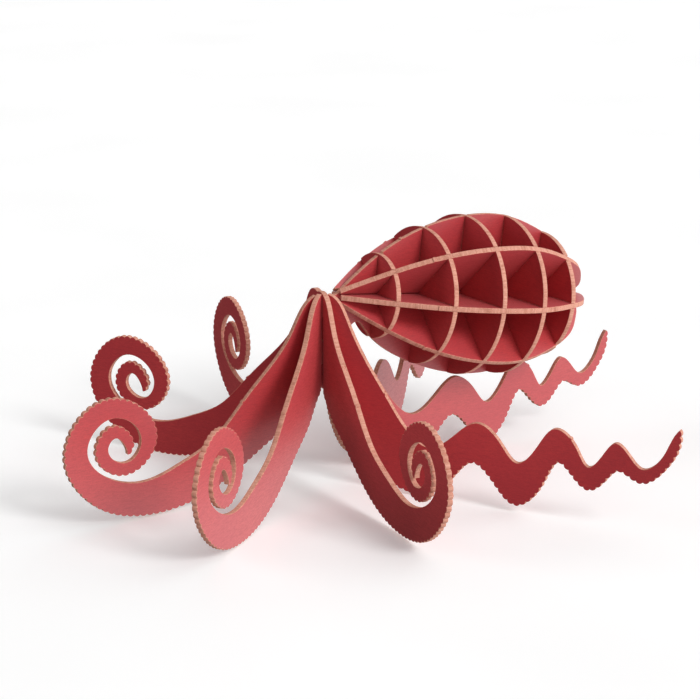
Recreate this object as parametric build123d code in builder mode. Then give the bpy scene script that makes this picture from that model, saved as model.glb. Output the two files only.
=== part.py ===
"""Slot-together card octopus: four crossed arm panels and an egg-crate body.

Units are mm, +Z is up and the floor is Z = 0. The profile panel stands along X,
with its curled arm at -X and the tail of the body at +X. The four arm panels
cross on one upright line, the hub. The finished part is moved so that the
origin is the middle of the underside of its bounding box.
"""

import os
from math import atan2, ceil, cos, degrees, radians, sin, tan

from build123d import *

# Sheet and fits
sheet = 1.5  # thickness of the card
slot_gap = 0.06  # room on each side of a sheet in its slot
slot_play = 0.1  # room at the blind end of a slot
rib_gap = 0.3  # room between neighbouring ribs along the axis of the body

# Hub, where the four arm panels cross
hub_top = 54.5
hub_bottom = 27.2

# Arm panels, in the order of their bridges upwards: profile, b, d and c
panel_turns = [0, 35, 121, 83]  # direction of the panel, in degrees from +X
panel_slides = [-0.8, -1.2, -1.0, 1.8]  # how far it is slotted off its middle
panel_lifts = [0, 0, 0, 1.5]  # how much higher than the others it sits
panel_tilts = [0, 0, -0.5, 1.3]  # how far it leans, in degrees

# Scalloped suckers along the underside of every arm
sucker_pitch = 2.0
sucker_height = 0.5

# Small stubs left where a piece was held in its sheet
stub_width = 0.8
stub_height = 0.25
spiral_stubs = [0.26]  # places along the upper side of an arm
wavy_stubs = [0.22, 0.7]
body_stub = 0.28  # place along the back of the body

# Outline points of an arm: distance from the hub, height above the floor
spiral_upper = [
    (9.8, 43.6), (19.2, 32.8), (25.0, 27.0), (34.8, 17.3), (45.0, 12.4), (59.8, 9.6),
    (72.9, 21.4), (65.5, 28.8), (57.0, 21.2), (61.7, 15.8), (66.8, 20.7), (64.7, 23.1),
    (61.9, 20.6),
]
spiral_lower = [
    (5.0, 23.8), (10.0, 18.8), (16.0, 14.9), (23.5, 10.2), (33.0, 4.6), (43.5, 0.9),
    (54.2, -0.1), (66.2, 2.4), (75.2, 9.6), (79.2, 20.7), (66.0, 34.0), (52.6, 21.2),
    (62.4, 12.6), (70.2, 20.4), (64.9, 26.3), (59.6, 20.6),
]
spiral_tip = (61.2, 18.0)
wavy_upper = [
    (7.4, 47.0), (12.6, 36.8), (19.0, 27.0), (25.5, 17.8), (31.8, 13.6), (38.8, 17.0),
    (47.0, 22.6), (53.4, 18.4), (58.8, 12.8), (63.6, 16.8), (69.9, 24.1), (75.4, 20.2),
    (79.4, 14.6), (82.9, 18.0), (87.0, 22.4), (90.9, 19.2), (94.3, 16.2), (99.6, 20.0),
    (102.2, 25.4),
]
wavy_lower = [
    (4.6, 23.6), (7.2, 17.6), (11.0, 11.0), (16.0, 5.2), (22.6, 1.0), (29.8, -0.1),
    (38.0, 4.2), (46.0, 11.3), (51.2, 7.4), (58.2, 0.9), (65.4, 6.6), (71.2, 15.0),
    (75.2, 11.4), (79.5, 8.4), (83.8, 11.4), (87.8, 15.0), (93.4, 12.6), (100.6, 17.2),
    (104.2, 24.4),
]
wavy_tip = (104.2, 28.4)
shoulder = 3.2  # the arms leave the hub this far out,
spiral_drop = 1.3  # and this far below its top
wavy_drop = 0.9

# Body: its long axis starts at the hub and dips towards the tail
axis_drop = 1.15  # depth of the axis below the top of the hub
axis_dip = 7.0
disc_first = 17.9
disc_pitch = 14.45
disc_radii = [12.2, 19.9, 23.5, 23.6, 18.8]
rib_angles = [-135, -90, -45, 45, 90, 135]  # measured round from the top
rib_neck = 4.9  # where the ribs begin along the axis
rib_point = 0.5  # their depth there
nape = [(1.0, -0.1), (4.4, 0.1), (6.4, 1.4)]  # top of the neck, from the axis at the hub
throat = [(13.7, -11.0), (11.3, -8.8), (8.8, -10.0), (4.0, -15.4)]  # its underside
tail = [(7.7, 14.2), (11.6, 9.2), (13.5, 4.9), (13.0, 2.4)]  # beyond the last disc
tail_notch = 10.8

card = Color(0.68, 0.09, 0.13)
slot_width = sheet + 2 * slot_gap
hub_middle = (hub_top + hub_bottom) / 2
bridge_rise = (hub_top - hub_bottom) / len(panel_turns)  # hub that each panel keeps whole
axis_height = hub_top - axis_drop
rib_inner = sheet / 2 / tan(radians(45 / 2)) + rib_gap
disc_at = [disc_first + disc_pitch * i for i in range(len(disc_radii))]
tail_outline = [(disc_at[-1] + x, y) for x, y in tail]
body_outline = [*zip(disc_at, disc_radii), *tail_outline]


def along_axis(distance, radius):
    """Point in the profile plane, from its place along the body and off its axis."""
    lean, rise = sin(radians(axis_dip)), cos(radians(axis_dip))
    return (distance * rise + radius * lean, axis_height - distance * lean + radius * rise)


def lap(radius):
    """Distance from the axis at which the slots of a rib and a disc meet."""
    return (rib_inner + radius) / 2


def crossing(angle):
    """Half the slot one sheet needs to let another through at this angle."""
    return sheet / 2 * (1 + abs(cos(radians(angle)))) / sin(radians(angle)) + slot_gap


def suckers(path, side):
    """Row of outward scallops along an underside, in place of the smooth edge."""
    count = ceil(path.length / sucker_pitch)
    for i in range(count):
        ends = [path @ (k / count) for k in (i, i + 1)]
        middle = (i + 0.5) / count
        along = path % middle
        crest = path @ middle + Vector(along.Y, -along.X) * (side * sucker_height)
        ThreePointArc(ends[0], crest, ends[1])


def arm(side, level, upper, lower):
    """Edges of one arm, out from the hub along both sides. Returns the upper one."""
    seat = Location((panel_slides[level], hub_middle + panel_lifts[level]), panel_tilts[level])
    seat = seat * Location((0, -hub_middle))
    top = [(0, hub_top - panel_lifts[level]), *upper]
    bottom = [(0, hub_bottom), *lower]
    placed = [[(seat * Location((side * x, y))).position for x, y in run] for run in (top, bottom)]
    edge = Spline(placed[0])
    suckers(Spline(placed[1], mode=Mode.PRIVATE), side)
    return edge


def spiral_arm(side, level):
    """Edges of a curled arm. side is 1 or -1."""
    upper = [(shoulder, hub_top - spiral_drop), *spiral_upper, spiral_tip]
    return arm(side, level, upper, [*spiral_lower, spiral_tip])


def wavy_arm(side, level):
    """Edges of a wavy arm."""
    upper = [(shoulder, hub_top - wavy_drop), *wavy_upper, wavy_tip]
    return arm(side, level, upper, [*wavy_lower, wavy_tip])


def stubs(edge, places):
    """Stubs on an edge, at these parts of its length."""
    for place in places:
        at, along = edge @ place, edge % place
        with Locations(Location((at.X, at.Y), degrees(atan2(along.Y, along.X)))):
            Rectangle(stub_width, 2 * stub_height)


def hub_slots(level):
    """Slots above and below the bridge of the panel at this level of the hub."""
    turns = [abs(turn - panel_turns[level]) for turn in panel_turns]
    bridge = hub_bottom + bridge_rise * level
    if level < len(turns) - 1:
        half = max(crossing(turn) for turn in turns[level + 1 :])
        with Locations((0, bridge + bridge_rise - slot_play / 2)):
            Rectangle(2 * half, hub_top, align=(Align.CENTER, Align.MIN), mode=Mode.SUBTRACT)
    if level > 0:
        half = max(crossing(turn) for turn in turns[:level])
        with Locations((0, bridge + slot_play / 2)):
            Rectangle(2 * half, hub_top, align=(Align.CENTER, Align.MAX), mode=Mode.SUBTRACT)


def upright(turn):
    """Plane of an arm panel: its X runs out from the hub and its Y runs up."""
    turn = radians(turn)
    return Plane((0, 0, 0), x_dir=(cos(turn), sin(turn), 0), z_dir=(sin(turn), -cos(turn), 0))


def body_plane(origin, turn):
    """Plane of a rib: its X runs along the body and its Y out from the axis."""
    axis = Vector(1, 0, 0).rotate(Axis.Y, axis_dip)
    out = Vector(0, 0, 1).rotate(Axis.Y, axis_dip).rotate(Axis((0, 0, 0), axis), turn)
    return Plane(origin, x_dir=axis, z_dir=axis.cross(out))


pieces = {}

# Profile panel: a curled arm, a wavy arm and the middle plate of the body
with BuildPart() as profile_panel:
    with BuildSketch(upright(panel_turns[0])):
        with BuildLine():
            wavy_edge = wavy_arm(1, 0)
            spiral_edge = spiral_arm(-1, 0)
        make_face()
        with BuildLine():
            neck_top = [(x, axis_height + y) for x, y in nape]
            neck_underside = [(x, axis_height + y) for x, y in throat]
            back = Spline([*neck_top, *[along_axis(*point) for point in body_outline]])
            belly = [along_axis(at, -radius) for at, radius in reversed(body_outline)]
            front = Spline([*belly, *neck_underside])
            Polyline(back @ 1, along_axis(disc_at[-1] + tail_notch, 0), front @ 0)
            Line(front @ 1, back @ 0)
        make_face()
        for at, radius in zip(disc_at, disc_radii):
            with Locations(Location(along_axis(at, -slot_play / 2), -axis_dip)):
                Rectangle(slot_width, 2 * radius, align=(Align.CENTER, Align.MIN), mode=Mode.SUBTRACT)
        stubs(wavy_edge, wavy_stubs)
        stubs(spiral_edge, spiral_stubs)
        stubs(back, [body_stub])
        hub_slots(0)
    extrude(amount=sheet / 2, both=True)
pieces["profile_panel"] = profile_panel.part

# Arm panel with a wavy arm behind and a curled arm in front
with BuildPart() as arm_panel_b:
    with BuildSketch(upright(panel_turns[1])):
        with BuildLine():
            wavy_edge = wavy_arm(1, 1)
            spiral_edge = spiral_arm(-1, 1)
        make_face()
        stubs(wavy_edge, wavy_stubs)
        stubs(spiral_edge, spiral_stubs)
        hub_slots(1)
    extrude(amount=sheet / 2, both=True)
pieces["arm_panel_b"] = arm_panel_b.part

# Its mirror twin, with the curled arm on the other side of the hub
with BuildPart() as arm_panel_d:
    with BuildSketch(upright(panel_turns[2])):
        with BuildLine():
            spiral_edge = spiral_arm(1, 2)
            wavy_edge = wavy_arm(-1, 2)
        make_face()
        stubs(spiral_edge, spiral_stubs)
        stubs(wavy_edge, wavy_stubs)
        hub_slots(2)
    extrude(amount=sheet / 2, both=True)
pieces["arm_panel_d"] = arm_panel_d.part

# Topmost panel, with two curled arms
with BuildPart() as arm_panel_c:
    with BuildSketch(upright(panel_turns[3])):
        with BuildLine():
            far_edge = spiral_arm(1, 3)
            near_edge = spiral_arm(-1, 3)
        make_face()
        stubs(far_edge, spiral_stubs)
        stubs(near_edge, spiral_stubs)
        hub_slots(3)
    extrude(amount=sheet / 2, both=True)
pieces["arm_panel_c"] = arm_panel_c.part

# Six half ribs round the body, slotted from the inside for the discs
for number, angle in enumerate(rib_angles, 1):
    with BuildPart() as rib:
        with BuildSketch(body_plane((0, 0, axis_height), angle)):
            with BuildLine():
                back = Spline([(rib_neck, rib_inner + rib_point), *body_outline])
                notch = (disc_at[-1] + tail_notch, rib_inner)
                Polyline(back @ 1, notch, (rib_neck, rib_inner), back @ 0)
            make_face()
            for at, radius in zip(disc_at, disc_radii):
                with Locations((at, lap(radius) + slot_play / 2)):
                    Rectangle(slot_width, radius, align=(Align.CENTER, Align.MAX), mode=Mode.SUBTRACT)
            stubs(back, [body_stub])
        extrude(amount=sheet / 2, both=True)
    pieces[f"rib_{number}"] = rib.part

# Five discs, slotted from the rim for the ribs and from below for the plate
for number, (at, radius) in enumerate(zip(disc_at, disc_radii), 1):
    x, z = along_axis(at, 0)
    across = Plane((x, 0, z), x_dir=(0, 1, 0), z_dir=Vector(1, 0, 0).rotate(Axis.Y, axis_dip))
    with BuildPart() as disc:
        with BuildSketch(across):
            Circle(radius)
            with Locations((0, slot_play / 2)):
                Rectangle(slot_width, 2 * radius, align=(Align.CENTER, Align.MAX), mode=Mode.SUBTRACT)
            for angle in rib_angles:
                with Locations(Location((0, 0), -angle) * Location((0, lap(radius) - slot_play / 2))):
                    Rectangle(slot_width, radius, align=(Align.CENTER, Align.MIN), mode=Mode.SUBTRACT)
        extrude(amount=sheet / 2, both=True)
    pieces[f"disc_{number}"] = disc.part

# Stand the part on the floor, with the origin under the middle of its box
box = Compound(children=[piece.moved(Location()) for piece in pieces.values()]).bounding_box()
middle = box.center()
os.makedirs("parts", exist_ok=True)
for name, piece in pieces.items():
    placed = piece.moved(Location((-middle.X, -middle.Y, -box.min.Z)))
    placed.label = name
    placed.color = card
    export_step(placed, f"parts/{name}.step")
print(f"size {box.size}, hub at ({-middle.X:.3f}, {-middle.Y:.3f}), raised {-box.min.Z:.4f}")
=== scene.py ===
"""Looks of the slot-together card octopus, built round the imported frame.

Every flat piece is rebuilt from its own CAD node: welded, its cut rims softened,
its two dyed faces and its laser-cut edge given separate materials. Lengths are
in metres.
"""

from math import cos, radians, sin

import bmesh
import bpy
from mathutils import Matrix, Vector


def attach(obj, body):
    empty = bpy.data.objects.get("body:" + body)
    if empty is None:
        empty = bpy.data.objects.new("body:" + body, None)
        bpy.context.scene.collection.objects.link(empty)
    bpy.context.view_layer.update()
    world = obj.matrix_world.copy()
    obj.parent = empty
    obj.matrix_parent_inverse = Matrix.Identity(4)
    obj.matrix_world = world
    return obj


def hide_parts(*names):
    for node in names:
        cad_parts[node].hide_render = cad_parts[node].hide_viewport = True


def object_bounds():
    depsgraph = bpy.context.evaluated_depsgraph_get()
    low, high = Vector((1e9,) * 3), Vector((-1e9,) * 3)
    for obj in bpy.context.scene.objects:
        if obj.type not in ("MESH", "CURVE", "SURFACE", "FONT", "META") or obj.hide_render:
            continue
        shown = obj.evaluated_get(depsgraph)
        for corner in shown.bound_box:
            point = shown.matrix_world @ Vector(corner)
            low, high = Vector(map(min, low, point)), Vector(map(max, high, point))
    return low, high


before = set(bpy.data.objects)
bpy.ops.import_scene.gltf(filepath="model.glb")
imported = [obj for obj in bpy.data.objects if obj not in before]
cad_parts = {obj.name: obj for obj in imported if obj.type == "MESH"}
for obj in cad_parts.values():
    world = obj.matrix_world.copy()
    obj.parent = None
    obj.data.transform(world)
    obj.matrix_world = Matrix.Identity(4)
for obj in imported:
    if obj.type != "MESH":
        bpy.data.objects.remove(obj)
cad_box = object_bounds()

MM = 0.001

# Meshes
WELD = 2e-7  # vertices of the CAD mesh closer than this are one
SLIVER = 1e-7  # shortest edge kept after the rims are softened
SAME_PLANE = radians(0.4)  # neighbouring faces this close in direction are joined
RIM = 0.09 * MM  # softened corner where a dyed face meets the cut edge
DYED_LEAN = 0.999  # a face leans this much along the thickness, or more: dyed card
CUT_LEAN = 0.05  # or no more than this: cut edge. Between the two is a rim
CREASE = radians(38)  # sharper turns along a cut edge stay crisp
GRAIN_STEP = 0.037  # moves each piece to its own stretch of the sheet's grain

# Colours, linear
DYE_DARK, DYE_LIGHT, DYE_UNEVEN = (0.42, 0.022, 0.028), (0.58, 0.044, 0.048), (0.45, 0.020, 0.036)
CORE_DARK, CORE_LIGHT, SCORCH = (0.50, 0.200, 0.135), (0.70, 0.340, 0.250), (0.32, 0.095, 0.058)
WORN_DARK, WORN_LIGHT = (0.56, 0.170, 0.115), (0.80, 0.38, 0.27)
SHEEN = (1.0, 0.86, 0.84, 1.0)
FLOOR_DARK, FLOOR_LIGHT, WHITE = (0.86, 0.86, 0.86), (0.90, 0.90, 0.90), (1, 1, 1, 1)

# Camera, placed from the hub where the arm panels cross
HUB_FROM_CORNER = (80.53 * MM, 91.22 * MM)  # from the lowest corner of the CAD box
HUB_HEIGHT = 1.08 * MM
VIEW_AZIMUTH, VIEW_TILT = radians(-32.5), radians(15.82)
CAMERA_RIGHT, CAMERA_UP, CAMERA_BACK = 7.92 * MM, 36.21 * MM, 571.5 * MM
FOCAL_LENGTH, SENSOR_WIDTH = 102.05, 36

# Studio: bright on the camera's right, dim on its left
DIM, BRIGHT = 0.05, 1.12
DIM_FROM, BRIGHT_FROM = -0.6, 0.65  # how far to the right each begins, from -1 to 1
FLOOR_HALF = 4


# ---------------------------------------------------------------- materials


class Graph:
    """Short names for building one node material."""

    def __init__(self, name):
        self.material = bpy.data.materials.new(name)
        self.material.use_nodes = True
        self.tree = self.material.node_tree
        self.shader = self.tree.nodes["Principled BSDF"]

    def node(self, kind, **values):
        made = self.tree.nodes.new(kind)
        for key, value in values.items():
            setattr(made, key, value)
        return made

    def put(self, socket, value):
        if isinstance(value, bpy.types.NodeSocket):
            self.tree.links.new(value, socket)
        else:
            socket.default_value = value

    def place(self):
        """Place on the sheet: two directions along it and one through it."""
        return self.node("ShaderNodeAttribute", attribute_name="sheet").outputs["Vector"]

    def mapped(self, turn, scale):
        made = self.node("ShaderNodeMapping")
        self.put(made.inputs["Vector"], self.place())
        made.inputs["Rotation"].default_value = (0, 0, radians(turn))
        made.inputs["Scale"].default_value = scale
        return made.outputs["Vector"]

    def noise(self, vector, scale, detail=2.0, rough=0.5, distortion=0.0):
        made = self.node("ShaderNodeTexNoise")
        self.put(made.inputs["Vector"], vector)
        self.put(made.inputs["Scale"], scale)
        self.put(made.inputs["Detail"], detail)
        self.put(made.inputs["Roughness"], rough)
        self.put(made.inputs["Distortion"], distortion)
        return made.outputs["Fac"]

    def math(self, operation, a, b):
        made = self.node("ShaderNodeMath", operation=operation)
        self.put(made.inputs[0], a)
        self.put(made.inputs[1], b)
        return made.outputs[0]

    def span(self, value, low, high, to_low=0.0, to_high=1.0):
        made = self.node("ShaderNodeMapRange", interpolation_type="SMOOTHSTEP")
        for socket, number in zip(made.inputs, (value, low, high, to_low, to_high)):
            self.put(socket, number)
        return made.outputs["Result"]

    def blend(self, amount, a, b, kind="MIX"):
        made = self.node("ShaderNodeMix", data_type="RGBA", blend_type=kind)
        self.put(made.inputs["Factor"], amount)
        colours = [s for s in made.inputs if s.type == "RGBA"]
        for socket, value in zip(colours, (a, b)):
            self.put(socket, value if isinstance(value, bpy.types.NodeSocket) else (*value, 1.0))
        return next(s for s in made.outputs if s.type == "RGBA")

    def bump(self, height, distance, strength):
        made = self.node("ShaderNodeBump")
        self.put(made.inputs["Height"], height)
        self.put(made.inputs["Distance"], distance)
        self.put(made.inputs["Strength"], strength)
        self.put(self.shader.inputs["Normal"], made.outputs["Normal"])

    def set(self, **values):
        for key, value in values.items():
            self.put(self.shader.inputs[key.replace("_", " ")], value)


def card_face():
    """Dyed card: short matted fibres, a little uneven dye, a soft dusty sheen."""
    g = Graph("dyed card face")
    along = g.noise(g.mapped(18, (500, 2600, 900)), 1.0, 3.0, 0.6, 0.4)
    across = g.noise(g.mapped(-52, (620, 2900, 900)), 1.0, 3.0, 0.6, 0.4)
    fibres = g.math("MAXIMUM", along, across)
    specks = g.noise(g.place(), 2600.0, 2.0, 0.6)
    dye = g.noise(g.place(), 42.0, 4.0, 0.6)
    grain = g.math("ADD", g.math("MULTIPLY", fibres, 0.65), g.math("MULTIPLY", specks, 0.35))
    tone = g.blend(g.span(grain, 0.34, 0.70), DYE_DARK, DYE_LIGHT)
    tone = g.blend(g.span(dye, 0.35, 0.68, 0.0, 0.35), tone, DYE_UNEVEN)
    g.put(g.shader.inputs["Base Color"], tone)
    g.put(g.shader.inputs["Roughness"], g.span(grain, 0.3, 0.75, 0.50, 0.34))
    g.set(IOR=1.85, Sheen_Weight=0.12, Sheen_Roughness=0.5, Sheen_Tint=SHEEN)
    g.bump(grain, 0.05 * MM, 0.55)
    return g.material


def cut_edge():
    """Laser-cut edge: bare salmon core with fine burnt striations through the sheet."""
    g = Graph("laser-cut card edge")
    strokes = g.noise(g.mapped(0, (1900, 1900, 160)), 1.0, 3.0, 0.65)
    pulp = g.noise(g.place(), 3400.0, 2.0, 0.6)
    scorch = g.noise(g.place(), 330.0, 3.0, 0.6)
    mix = g.math("ADD", g.math("MULTIPLY", strokes, 0.7), g.math("MULTIPLY", pulp, 0.3))
    tone = g.blend(g.span(mix, 0.33, 0.64), CORE_DARK, CORE_LIGHT)
    tone = g.blend(g.span(scorch, 0.52, 0.72, 0.0, 0.5), tone, SCORCH)
    g.put(g.shader.inputs["Base Color"], tone)
    g.put(g.shader.inputs["Roughness"], g.span(mix, 0.3, 0.7, 0.86, 0.66))
    g.set(IOR=1.42)
    g.bump(mix, 0.06 * MM, 0.7)
    return g.material


def rim():
    """Paler line where the dyed skin of the card ends at the cut."""
    g = Graph("cut rim")
    worn = g.noise(g.place(), 1500.0, 3.0, 0.6)
    tone = g.blend(g.span(worn, 0.36, 0.66), WORN_DARK, WORN_LIGHT)
    g.put(g.shader.inputs["Base Color"], tone)
    g.put(g.shader.inputs["Roughness"], g.span(worn, 0.3, 0.7, 0.74, 0.55))
    g.bump(worn, 0.03 * MM, 0.5)
    return g.material


# ---------------------------------------------------------------- pieces


def flat_axes(mesh):
    """Directions along, across and through a flat piece, from its largest face."""
    sums = {}
    for face in mesh.polygons:
        n = face.normal
        if n.x < -1e-3 or (abs(n.x) <= 1e-3 and (n.y < -1e-3 or (abs(n.y) <= 1e-3 and n.z < 0))):
            n = -n
        key = (round(n.x, 2), round(n.y, 2), round(n.z, 2))
        total, area = sums.get(key, (Vector(), 0.0))
        sums[key] = (total + n * face.area, area + face.area)
    through = max(sums.values(), key=lambda item: item[1])[0].normalized()
    level = Vector((0, 0, 1)).cross(through)
    level = level.normalized() if level.length > 0.1 else Vector((1, 0, 0))
    return level, through.cross(level).normalized(), through


def soft_cut(node, materials):
    """The CAD node as a welded mesh with softened rims and a place on its sheet."""
    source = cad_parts[node].data
    along, across, through = flat_axes(source)
    bm = bmesh.new()
    bm.from_mesh(source)
    bmesh.ops.remove_doubles(bm, verts=bm.verts, dist=WELD)
    bmesh.ops.dissolve_limit(bm, angle_limit=SAME_PLANE, verts=bm.verts, edges=bm.edges)

    def dyed(face):
        return abs(face.normal.dot(through)) > DYED_LEAN

    corners = [
        e for e in bm.edges
        if len(e.link_faces) == 2 and dyed(e.link_faces[0]) != dyed(e.link_faces[1])
    ]
    bmesh.ops.bevel(
        bm, geom=corners, offset=RIM, offset_type="OFFSET", segments=2, profile=0.5,
        affect="EDGES", clamp_overlap=False,
    )
    bmesh.ops.dissolve_degenerate(bm, dist=SLIVER, edges=bm.edges)
    for face in bm.faces:
        lean = abs(face.normal.dot(through))
        face.smooth = True
        face.material_index = 0 if lean > DYED_LEAN else 1 if lean < CUT_LEAN else 2
    for edge in bm.edges:
        pair = edge.link_faces
        if len(pair) == 2:
            edge.smooth = not (
                0 in (pair[0].material_index, pair[1].material_index)
                or pair[0].normal.angle(pair[1].normal, 0) > CREASE
            )
    middle = sum((v.co.dot(through) for v in bm.verts)) / len(bm.verts)
    mesh = bpy.data.meshes.new(node + "_cut")
    bm.to_mesh(mesh)
    bm.free()
    place = mesh.attributes.new("sheet", "FLOAT_VECTOR", "POINT")
    shift = Vector((sum(map(ord, node)) % 17, len(node), 0)) * GRAIN_STEP
    for item, vertex in zip(place.data, mesh.vertices):
        co = vertex.co
        item.vector = (co.dot(along) + shift.x, co.dot(across) + shift.y, co.dot(through) - middle)
    for material in materials:
        mesh.materials.append(material)
    piece = bpy.data.objects.new(node + "_card", mesh)
    bpy.context.scene.collection.objects.link(piece)
    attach(piece, "root")
    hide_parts(node)
    return piece


finishes = [card_face(), cut_edge(), rim()]
for node in sorted(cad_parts):
    soft_cut(node, finishes)


# ---------------------------------------------------------------- studio


def sun(name, toward, energy, angle):
    light = bpy.data.lights.new(name, "SUN")
    light.energy = energy
    light.angle = radians(angle)
    lamp = bpy.data.objects.new(name, light)
    lamp.rotation_mode = "QUATERNION"
    lamp.rotation_quaternion = Vector(toward).to_track_quat("Z", "Y")
    bpy.context.scene.collection.objects.link(lamp)
    return lamp


corner = cad_box[0]
hub = Vector((corner.x + HUB_FROM_CORNER[0], corner.y + HUB_FROM_CORNER[1], HUB_HEIGHT))
right = Vector((cos(VIEW_AZIMUTH), sin(VIEW_AZIMUTH), 0))
back = Vector(
    (sin(VIEW_AZIMUTH) * cos(VIEW_TILT), -cos(VIEW_AZIMUTH) * cos(VIEW_TILT), sin(VIEW_TILT))
)
up = back.cross(right)

lens = bpy.data.cameras.new("camera")
lens.sensor_width = SENSOR_WIDTH
lens.lens = FOCAL_LENGTH
lens.clip_start, lens.clip_end = 0.01, 50
camera = bpy.data.objects.new("camera", lens)
camera.matrix_world = (
    Matrix.Translation(hub + right * CAMERA_RIGHT + up * CAMERA_UP + back * CAMERA_BACK)
    @ Matrix((right, up, back)).transposed().to_4x4()
)
bpy.context.scene.collection.objects.link(camera)
bpy.context.scene.camera = camera

sun("key", toward=(0.22, -0.80, 0.56), energy=1.5, angle=20)
fill = sun("fill", toward=(-0.85, 0.45, 0.30), energy=0.95, angle=40)
fill.visible_glossy = False

world = bpy.data.worlds.new("studio")
world.use_nodes = True
tree = world.node_tree
backdrop = tree.nodes["Background"]
backdrop.inputs["Color"].default_value = WHITE
where = tree.nodes.new("ShaderNodeTexCoord").outputs["Generated"]
side = tree.nodes.new("ShaderNodeVectorMath")
side.operation = "DOT_PRODUCT"
side.inputs[1].default_value = right
tree.links.new(where, side.inputs[0])
ramp = tree.nodes.new("ShaderNodeMapRange")
ramp.interpolation_type = "SMOOTHSTEP"
for socket, number in zip(list(ramp.inputs)[1:], (DIM_FROM, BRIGHT_FROM, DIM, BRIGHT)):
    socket.default_value = number
tree.links.new(side.outputs["Value"], ramp.inputs[0])
tree.links.new(ramp.outputs["Result"], backdrop.inputs["Strength"])
bpy.context.scene.world = world
bpy.context.scene.view_settings.view_transform = "Standard"

paper = Graph("studio floor")
paper.put(
    paper.shader.inputs["Base Color"],
    paper.blend(
        paper.span(paper.noise(paper.node("ShaderNodeTexCoord").outputs["Object"], 9.0), 0.3, 0.7),
        FLOOR_DARK, FLOOR_LIGHT,
    ),
)
paper.set(Roughness=0.9, IOR=1.3, Emission_Color=WHITE, Emission_Strength=0.2)
mesh = bpy.data.meshes.new("floor")
corners = [(FLOOR_HALF * x, FLOOR_HALF * y, 0) for x, y in ((-1, -1), (1, -1), (1, 1), (-1, 1))]
mesh.from_pydata(corners, [], [(0, 1, 2, 3)])
mesh.materials.append(paper.material)
floor = bpy.data.objects.new("floor", mesh)
floor.visible_diffuse = False
floor.visible_glossy = False
floor.visible_shadow = False
bpy.context.scene.collection.objects.link(floor)
